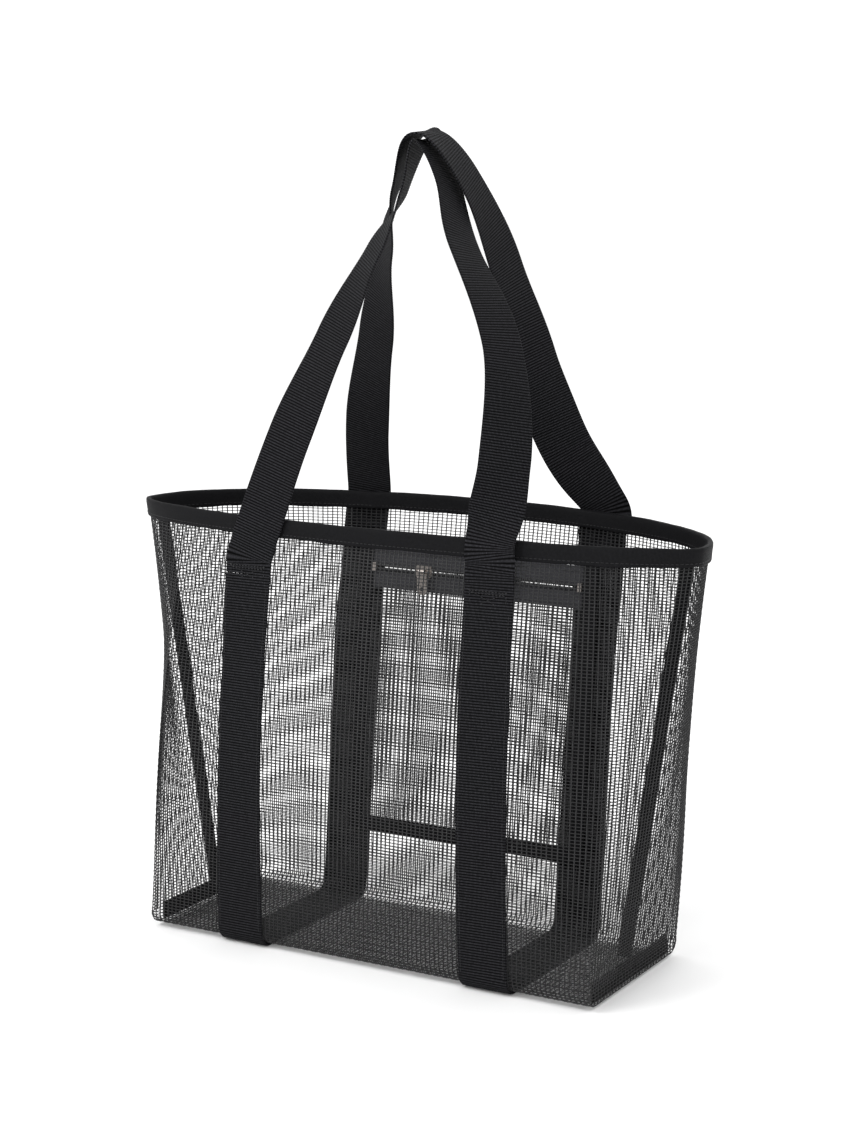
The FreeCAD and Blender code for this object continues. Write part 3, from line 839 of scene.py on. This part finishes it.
def make_webbing(name, route, body=None, nodes=()):
    """A flat woven band along a route, with its ribs raised."""
    settings = bpy.context.scene.beach_bag
    line, across, through, run = evenly(route, settings.rib_pitch / 4)
    half = list(WEBBING_SECTION)
    top = half + [(-u, t) for u, t in half[-2::-1]]
    section = top + [(u, -t) for u, t in top[-2:0:-1]]
    size = len(section)
    u = np.array([s[0] for s in section])[None, :, None]
    t = np.array([s[1] for s in section])[None, :, None]
    wide, thick = WEBBING_WIDTH / 2, WEBBING_THICKNESS / 2 - 0.05 * MM
    points = line[:, None] + across[:, None] * u * wide + through[:, None] * t * thick
    out = np.broadcast_to(through[:, None], points.shape) * t
    count = len(line)
    piece = mesh_object(name, points.reshape(-1, 3), ring_faces(count, size))
    set_attribute(piece.data, "out", "FLOAT_VECTOR", out.reshape(-1, 3))
    set_attribute(piece.data, "run", "FLOAT", np.repeat(run, size))
    add_uv(piece, np.repeat(run, size), np.tile(u.ravel() * wide, count))
    face_outward(piece)
    grow(
        piece,
        rib_tree(),
        pitch=settings.rib_pitch,
        height=settings.rib_height,
        material=material("black_webbing"),
    )
    if body:
        place(piece, body, "webbing", *nodes)
    return piece


def add_uv(piece, run, across):
    """A UV map in metres: across the tape, and along it."""
    layer = piece.data.uv_layers.new(name="UVMap")
    corners = np.zeros(len(piece.data.loops), np.int32)
    piece.data.loops.foreach_get("vertex_index", corners)
    both = np.stack([np.asarray(across)[corners], np.asarray(run)[corners]], axis=1)
    layer.data.foreach_set("uv", both.astype(np.float32).ravel())


def face_outward(piece):
    """Turn a closed mesh the right way out by the sign of its volume."""
    mesh = piece.data
    mesh.calc_loop_triangles()
    points = np.zeros(len(mesh.vertices) * 3)
    mesh.vertices.foreach_get("co", points)
    corners = np.zeros(len(mesh.loop_triangles) * 3, np.int32)
    mesh.loop_triangles.foreach_get("vertices", corners)
    a, b, c = points.reshape(-1, 3)[corners.reshape(-1, 3)].transpose(1, 0, 2)
    if (np.cross(a, b) * c).sum() < 0:
        mesh.flip_normals()


# ---- folded tapes


def tube_object(name, rings, closed=False):
    """A closed piece from rings of points [ring, point, xyz], joined end to end or capped."""
    count, size = rings.shape[:2]
    piece = mesh_object(name, rings.reshape(-1, 3), ring_faces(count, size, closed))
    round_steps = np.linalg.norm(rings[0] - np.roll(rings[0], 1, 0), axis=1)
    run = distances(rings.mean(axis=1))
    add_uv(piece, np.repeat(run, size), np.tile(np.cumsum(round_steps), count))
    face_outward(piece)
    smooth(piece)
    return piece


def finish_tape(piece, *nodes):
    piece.data.materials.append(material("binding_tape"))
    return place(piece, "root", "binding", *nodes)


def ripple(run, scale, seed):
    """A gentle uneven wave, the same on every run."""
    random = np.random.default_rng(seed)
    total = np.zeros_like(run)
    for wavelength, height in ((0.09, 0.5), (0.041, 0.3), (0.017, 0.2)):
        total += height * np.sin(2 * math.pi * run / wavelength + random.uniform(0, 2 * math.pi))
    return total * scale


def rim_ring(offset, height):
    """Points right round the wall at one height and offset, front then back."""
    fractions = np.linspace(0, 1, 261)
    front = wall(-1, fractions, [height], offset)[0][:-1]
    back = wall(1, fractions[::-1], [height], offset)[0][:-1]
    return np.concatenate([front, back])


RIM_SECTION = (
    (1.25, -11.6), (1.5, -10.4), (1.38, -8.0), (1.42, -4.5), (1.5, -2.0), (1.3, -0.2), (0.7, 0.75),
    (-0.6, 1.0), (-1.9, 0.75), (-2.5, -0.2), (-2.7, -2.0), (-2.62, -4.5), (-2.58, -8.0), (-2.7, -10.4),
    (-2.45, -11.6), (-0.6, -11.2),
)


def make_rim():
    """The tape folded over the netting's raw top edge."""
    seed = bpy.context.scene.beach_bag.seed
    rings = []
    for offset, level in RIM_SECTION:
        ring = rim_ring(offset * MM, RIM_HEIGHT + level * MM)
        run = distances(ring)
        fade = np.minimum(1, np.minimum(run, run[-1] - run) / 0.03)
        low = level < -7
        ring[:, 2] += ripple(run, 0.45 * MM, seed + (1 if low else 0)) * fade * (1 if low else 0.5)
        away = ring - np.array([0, SEAM_Y, ring[0, 2]])
        away[:, 2] = 0
        away /= np.linalg.norm(away, axis=1, keepdims=True)
        ring += away * (ripple(run, 0.3 * MM, seed + 2) * fade)[:, None] * (1.0 if low else 0.6)
        rings.append(ring)
    piece = tube_object("rim_tape", np.stack(rings, axis=1), closed=True)
    finish_tape(piece, "rim_binding")


def fold_section(width, thickness, bulge=1.0):
    """Outline of a folded tape: raw edges at 0, and a round fold at its width."""
    h = thickness / 2
    half = [(0, h * 0.55), (width * 0.12, h * bulge), (width * 0.5, h * 0.86), (width * 0.82, h * bulge)]
    half += [(width - h * 0.5, h * 0.8), (width, h * 0.25)]
    return half + [(u, -t) for u, t in half[::-1]]


def make_fin(name, hand):
    """The folded tape on the side seam's allowance, which stands into the bag."""
    low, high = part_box(name)
    count = 140
    section = fold_section(FIN_DEPTH, BINDING_THICKNESS)
    heights = np.linspace(low.z, high.z, count)
    share = (heights - WALL_START) / (RIM_HEIGHT - WALL_START)
    seam = HALF_LENGTH + (RIM_HALF - HALF_LENGTH) * share - PANEL
    sway = ripple(heights, 0.8 * MM, bpy.context.scene.beach_bag.seed + 5)
    rings = np.zeros((count, len(section), 3))
    for k, (deep, off) in enumerate(section):
        pinch = 0.55 + 0.45 * min(1, deep / (4 * MM))
        rings[:, k, 0] = hand * (seam - BINDING_THICKNESS - deep)
        rings[:, k, 1] = SEAM_Y + off * pinch * 0.92 + sway * (deep / FIN_DEPTH) ** 2
        rings[:, k, 2] = heights
    finish_tape(tube_object(name.replace("binding", "tape"), rings), name)


def make_corner_tape(name, hand):
    """The folded tape over the boxed corner's seam, along a short edge of the base."""
    low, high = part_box(name)
    count = 60
    section = fold_section(high.z - low.z, high.x - low.x)
    middle = (low.x + high.x) / 2
    along = np.linspace(low.y, high.y, count)
    sway = ripple(along, 0.5 * MM, bpy.context.scene.beach_bag.seed + 8)
    rings = np.zeros((count, len(section), 3))
    for k, (tall, off) in enumerate(section):
        rings[:, k, 0] = middle + off * 0.94 - hand * (0.5 * MM + sway) * (tall / CORNER_FOLD) ** 2
        rings[:, k, 1] = along
        rings[:, k, 2] = low.z + tall
    finish_tape(tube_object(name.replace("binding", "tape"), rings), name)


# ---- the pocket's leaning plane


def pocket_frame():
    """Origin and axes of the pocket's plane: along the zip, up the plane, towards the front."""
    low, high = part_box("pocket_left_binding")
    thick = POCKET_TAPE_THICKNESS
    lean = 0.0
    for _ in range(20):
        long = (high.z - low.z - thick * math.sin(lean)) / math.cos(lean)
        lean = math.asin((high.y - low.y - thick * math.cos(lean)) / long)
    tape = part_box("zip_upper_tape")[0]
    y = tape.y - CLEARANCE * math.sin(lean) + ZIP_TAPE_THICKNESS * math.cos(lean)
    z = tape.z - CLEARANCE * math.cos(lean)
    x = (low.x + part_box("pocket_right_binding")[1].x) / 2
    axes = np.array(
        [[1, 0, 0], [0, math.sin(lean), math.cos(lean)], [0, -math.cos(lean), math.sin(lean)]]
    )
    return np.array([x, y, z]), axes


def on_pocket(points):
    """Points given along the zip, up the plane and off it, in the bag's frame."""
    origin, axes = pocket_frame()
    return origin + np.asarray(points, float) @ axes


def pocket_sizes():
    """Half width of the pocket, its foot below the zip, and the width of its side tapes."""
    origin, axes = pocket_frame()
    low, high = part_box("pocket_left_binding")
    half = origin[0] - low.x
    foot = (low.z - origin[2]) / axes[1][2]
    return half, foot, high.x - low.x


def pocket_grids():
    """Thread crossings of the pocket's front."""
    settings = bpy.context.scene.beach_bag
    half, foot, tape = pocket_sizes()
    wide = half - tape + TUCK
    across = np.linspace(-wide, wide, round(2 * wide / settings.cell_width) + 1)
    top = -ZIP_TAPE_WIDTH + 1 * MM
    low = foot + tape - TUCK
    up = np.linspace(low, top, round((top - low) / settings.cell_height) + 1)
    local = np.zeros((len(up), len(across), 3))
    local[:, :, 0], local[:, :, 1], local[:, :, 2] = across[None], up[:, None], CLOTH_MIDDLE
    shape = np.sin(math.pi * (up - low) / (top - low))[:, None] * np.cos(across / wide * math.pi / 2)
    local[:, :, 2] += POCKET_CROWN * shape * (0.7 + 0.3 * np.sin(across * 70))
    return [on_pocket(local.reshape(-1, 3)).reshape(local.shape)]


def make_flat_tape(name, node, ends, thickness, finish="binding_tape", slot="binding", sway=0.25 * MM):
    """A flat or folded tape between two ends on the pocket's plane, with rounded edges."""
    (x0, y0), (x1, y1), wide = ends
    reach = math.hypot(x1 - x0, y1 - y0)
    count = max(24, round(reach / (2.5 * MM)))
    share = np.linspace(0, 1, count)
    x, y = x0 + (x1 - x0) * share, y0 + (y1 - y0) * share
    across = np.array([-(y1 - y0), x1 - x0]) / reach
    h = thickness / 2
    half = [(0.5, 0.3), (0.485, 0.85), (0.44, 1.0), (0.2, 0.9), (0.0, 0.86), (-0.2, 0.9), (-0.44, 1.0)]
    half += [(-0.485, 0.85), (-0.5, 0.3)]
    section = half + [(u, -t) for u, t in half[::-1]]
    wave = ripple(share * reach, sway, bpy.context.scene.beach_bag.seed + len(name))
    local = np.zeros((count, len(section), 3))
    for k, (u, t) in enumerate(section):
        local[:, k, 0] = x + across[0] * u * wide
        local[:, k, 1] = y + across[1] * u * wide
        local[:, k, 2] = CLOTH_MIDDLE + t * h + wave
    piece = tube_object(name, on_pocket(local.reshape(-1, 3)).reshape(local.shape))
    piece.data.materials.append(material(finish))
    return place(piece, "root", slot, node)


# ---- rows of beads: stitches and coil turns


def line_object(name, lines):
    """An edge mesh with one open line for each list of points."""
    points, edges, start = [], [], 0
    for line in lines:
        line = np.asarray(line, float)
        points.append(line)
        edges += [(start + i, start + i + 1) for i in range(len(line) - 1)]
        start += len(line)
    return mesh_object(name, np.concatenate(points), [], edges)


def make_beads(name, lines, pitch, size, finish, body, slot_name, *nodes):
    piece = line_object(name, lines)
    grow(piece, bead_tree(name), pitch=pitch, size=size, material=material(finish))
    return place(piece, body, slot_name, *nodes)


def sew(name, lines, *nodes, pitch=None, size=STITCH):
    """Rows of stitching on the body of the bag."""
    pitch = pitch or bpy.context.scene.beach_bag.stitch_pitch
    make_beads(name, lines, pitch, size, "sewing_thread", "root", "thread", *nodes)


def strap_edge_lines(hand, side):
    """Two stitch lines up one leg of a strap, just inside its edges, on its outer face."""
    lines = []
    heights = np.linspace(*STRAP_STITCHES, 60)
    for edge in (-1, 1):
        line = []
        for height in heights:
            middle, wide = leg_station(side, height, hand)
            wide = np.array(wide)
            out = np.array([-wide[1], wide[0], 0]) * side
            spot = np.array(middle) + wide * edge * (WEBBING_WIDTH / 2 - STITCH_INSET)
            line.append(spot + out * (WEBBING_THICKNESS / 2 + 0.06 * MM))
        lines.append(line)
    return lines


def box_stitch_lines(hand, side):
    """The box of stitching with crossed diagonals that ties a leg to its panel."""
    height = BOX_STITCH_HEIGHT
    middle, _ = leg_station(side, height, hand)
    y = middle[1] + side * (WEBBING_THICKNESS / 2 + 0.12 * MM)
    half, tall = 13.5 * MM, 6 * MM

    def line(start, end):
        steps = np.linspace(0, 1, 12)[:, None]
        one = np.array([middle[0] + start[0], y, height + start[1]])
        two = np.array([middle[0] + end[0], y, height + end[1]])
        return one + (two - one) * steps

    corners = [(-half, -tall), (half, -tall), (half, tall), (-half, tall)]
    lines = [line(corners[i], corners[(i + 1) % 4]) for i in range(4)]
    lines += [line(corners[0], corners[2]), line(corners[1], corners[3])]
    inner = [(x * 0.86, z * 0.72) for x, z in corners]
    return lines + [line(inner[0], inner[1]), line(inner[2], inner[3])]


# ---- operators


class BAG_OT_netting(bpy.types.Operator):
    """Front, back and base netting"""

    bl_idname = "beach_bag.netting"
    bl_label = "Netting"

    def execute(self, context):
        make_netting("front_netting", panel_grids(-1), ["front_panel"])
        make_netting("back_netting", panel_grids(1), ["back_panel"])
        make_netting("base_netting", base_grids(), ["base_panel"])
        return {"FINISHED"}


class BAG_OT_straps(bpy.types.Operator):
    """The two straps that run under the bag"""

    bl_idname = "beach_bag.straps"
    bl_label = "Straps"

    def execute(self, context):
        for name, hand in (("left_strap", -1), ("right_strap", 1)):
            make_webbing(f"{name}_webbing", strap_route(hand), "root", [name])
        return {"FINISHED"}


class BAG_OT_handles(bpy.types.Operator):
    """The two handle loops, which bend where they leave their stitching"""

    bl_idname = "beach_bag.handles"
    bl_label = "Handles"

    def execute(self, context):
        for name in HANDLES:
            piece = make_webbing(f"{name}_webbing", handle_route(name))
            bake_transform(piece)
            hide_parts(name)
        return {"FINISHED"}


class BAG_OT_bindings(bpy.types.Operator):
    """Rim, side and corner tapes"""

    bl_idname = "beach_bag.bindings"
    bl_label = "Bindings"

    def execute(self, context):
        make_rim()
        for hand, word in ((-1, "left"), (1, "right")):
            make_fin(f"{word}_side_binding", hand)
            make_corner_tape(f"{word}_corner_binding", hand)
        return {"FINISHED"}


class BAG_OT_pocket(bpy.types.Operator):
    """The zip pocket inside the back"""

    bl_idname = "beach_bag.pocket"
    bl_label = "Pocket"

    def execute(self, context):
        half, foot, tape = pocket_sizes()
        make_netting("pocket_netting", pocket_grids(), ["pocket_panel"])
        top = foot + POCKET_DEPTH
        inner = half - tape / 2
        for word, x in (("left", -inner), ("right", inner)):
            ends = ((x, foot), (x, top), tape)
            make_flat_tape(f"pocket_{word}_tape", f"pocket_{word}_binding", ends, POCKET_TAPE_THICKNESS)
        edge = half - tape
        ends = ((-edge, foot + tape / 2), (edge, foot + tape / 2), tape)
        make_flat_tape("pocket_bottom_tape", "pocket_bottom_binding", ends, POCKET_TAPE_THICKNESS)
        middle = CLEARANCE + ZIP_TAPE_WIDTH / 2
        for word, y in (("upper", middle), ("lower", -middle)):
            ends = ((-edge, y), (edge, y), ZIP_TAPE_WIDTH)
            node = f"zip_{word}_tape"
            make_flat_tape(
                f"zip_tape_{word}", node, ends, ZIP_TAPE_THICKNESS, "zip_tape", "zip_tape", sway=0.0
            )
        return {"FINISHED"}


class BAG_OT_zip(bpy.types.Operator):
    """Coil turns, slider, tab and stops"""

    bl_idname = "beach_bag.zip"
    bl_label = "Zip"

    def execute(self, context):
        origin, _ = pocket_frame()
        low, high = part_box("zip_upper_coil")
        pitch = context.scene.beach_bag.coil_pitch
        for word, y, shift in (("upper", COIL_OFFSET, 0.25), ("lower", -COIL_OFFSET, 0.75)):
            x = np.linspace(low.x - origin[0] + shift * pitch, high.x - origin[0], 40)
            lines = [on_pocket(np.stack([x, np.full(40, y), np.full(40, COIL_HEIGHT)], axis=1))]
            name, node = f"zip_coil_{word}", f"zip_{word}_coil"
            make_beads(name, lines, pitch, COIL_TURN, "nylon_coil", "root", "coil", node)
        for name in ("zip_slider", "zip_pull_tab", "zip_stops"):
            node = frame["nodes"][name]
            if not node.material_slots:
                node.data.materials.append(None)
            for spot in node.material_slots:
                spot.material = material("gunmetal")
        return {"FINISHED"}


class BAG_OT_stitches(bpy.types.Operator):
    """Rows of stitching on straps, tapes and the handles' ends"""

    bl_idname = "beach_bag.stitches"
    bl_label = "Stitches"

    def execute(self, context):
        strap_lines, box_lines = [], []
        for side in (-1, 1):
            for hand in (-1, 1):
                strap_lines += strap_edge_lines(hand, side)
                box_lines += box_stitch_lines(hand, side)
        sew("strap_stitches", strap_lines)
        sew("box_stitches", box_lines, "strap_bartacks", pitch=BOX_STITCH_PITCH, size=BOX_STITCH)
        rim_lines = []
        for offset, level in ((1.5, -9.2), (-2.7, -9.2)):
            ring = rim_ring(offset * MM, RIM_HEIGHT + level * MM)
            rim_lines.append(np.concatenate([ring, ring[:1]]))
        sew("rim_stitches", rim_lines)
        half, foot, tape = pocket_sizes()
        edge, inset = half - tape, 1.8 * MM
        on_tape, on_zip = 1.32 * MM, 0.65 * MM
        lines = []
        for x in (-edge - inset, edge + inset):
            lines.append([(x, foot + 3 * MM, on_tape), (x, foot + 208 * MM, on_tape)])
        for y, off in ((foot + tape - inset, on_tape), (11 * MM, on_zip), (-12.6 * MM, on_zip)):
            lines.append([(-edge, y, off), (edge, y, off)])
        sew("pocket_stitches", [on_pocket(line) for line in lines])
        return {"FINISHED"}


class BAG_OT_stage(bpy.types.Operator):
    """Floor, soft lights and camera"""

    bl_idname = "beach_bag.stage"
    bl_label = "Stage"

    def execute(self, context):
        corners = [(-9, -6, 0), (9, -6, 0), (9, 12, 0), (-9, 12, 0)]
        floor = mesh_object("floor", corners, [(0, 1, 2, 3)])
        pale = bpy.data.materials.new("pale_floor")
        pale.use_nodes = True
        shader = pale.node_tree.nodes["Principled BSDF"]
        shader.inputs["Base Color"].default_value = (0.86, 0.86, 0.86, 1)
        shader.inputs["Roughness"].default_value = 0.7
        floor.data.materials.append(pale)
        context.scene.view_settings.view_transform = "Standard"
        world = bpy.data.worlds.new("studio")
        world.use_nodes = True
        world.node_tree.nodes["Background"].inputs["Color"].default_value = (1, 1, 1, 1)
        world.node_tree.nodes["Background"].inputs["Strength"].default_value = 1.2
        context.scene.world = world
        for name, spot, size, power in (
            ("key", (-1.3, -1.5, 2.2), 1.4, 40),
            ("fill", (2.0, -1.4, 1.3), 1.8, 10),
            ("back", (0.4, 2.2, 2.0), 2.2, 16),
        ):
            lamp = bpy.data.lights.new(name, "AREA")
            lamp.size, lamp.energy = size, power
            light = bpy.data.objects.new(name, lamp)
            light.location = spot
            aim = Vector((0, SEAM_Y, 0.25)) - Vector(spot)
            light.rotation_euler = aim.to_track_quat("-Z", "Y").to_euler()
            context.scene.collection.objects.link(light)
        lens = bpy.data.cameras.new("camera")
        lens.lens, lens.sensor_width = 77.34, 36
        camera = bpy.data.objects.new("camera", lens)
        target = Vector((0.0124, SEAM_Y, 0.2694))
        azimuth, elevation, distance = math.radians(30.1), math.radians(10.32), 1.6675
        flat = distance * math.cos(elevation)
        camera.location = target + Vector(
            (flat * math.sin(azimuth), -flat * math.cos(azimuth), distance * math.sin(elevation))
        )
        camera.rotation_euler = (target - camera.location).to_track_quat("-Z", "Y").to_euler()
        context.scene.collection.objects.link(camera)
        context.scene.camera = camera
        return {"FINISHED"}


class BAG_PT_panel(bpy.types.Panel):
    """Buttons that build the bag, and its sizes and colours"""

    bl_idname = "BAG_PT_panel"
    bl_label = "Beach Bag"
    bl_space_type = "VIEW_3D"
    bl_region_type = "UI"
    bl_category = "Beach Bag"

    def draw(self, context):
        for name in BagSettings.__annotations__:
            self.layout.prop(context.scene.beach_bag, name)
        for operator in OPERATORS:
            self.layout.operator(operator.bl_idname)


OPERATORS = (
    BAG_OT_stage,
    BAG_OT_netting,
    BAG_OT_straps,
    BAG_OT_handles,
    BAG_OT_bindings,
    BAG_OT_pocket,
    BAG_OT_zip,
    BAG_OT_stitches,
)


def register():
    for kind in (BagSettings, *OPERATORS, BAG_PT_panel):
        bpy.utils.register_class(kind)
    bpy.types.Scene.beach_bag = PointerProperty(type=BagSettings)


def unregister():
    del bpy.types.Scene.beach_bag
    for kind in (BAG_PT_panel, *reversed(OPERATORS), BagSettings):
        bpy.utils.unregister_class(kind)


def main():
    register()
    bpy.ops.beach_bag.stage()
    bpy.ops.beach_bag.netting()
    bpy.ops.beach_bag.straps()
    bpy.ops.beach_bag.handles()
    bpy.ops.beach_bag.bindings()
    bpy.ops.beach_bag.pocket()
    bpy.ops.beach_bag.zip()
    bpy.ops.beach_bag.stitches()


if __name__ == "__main__":
    main()
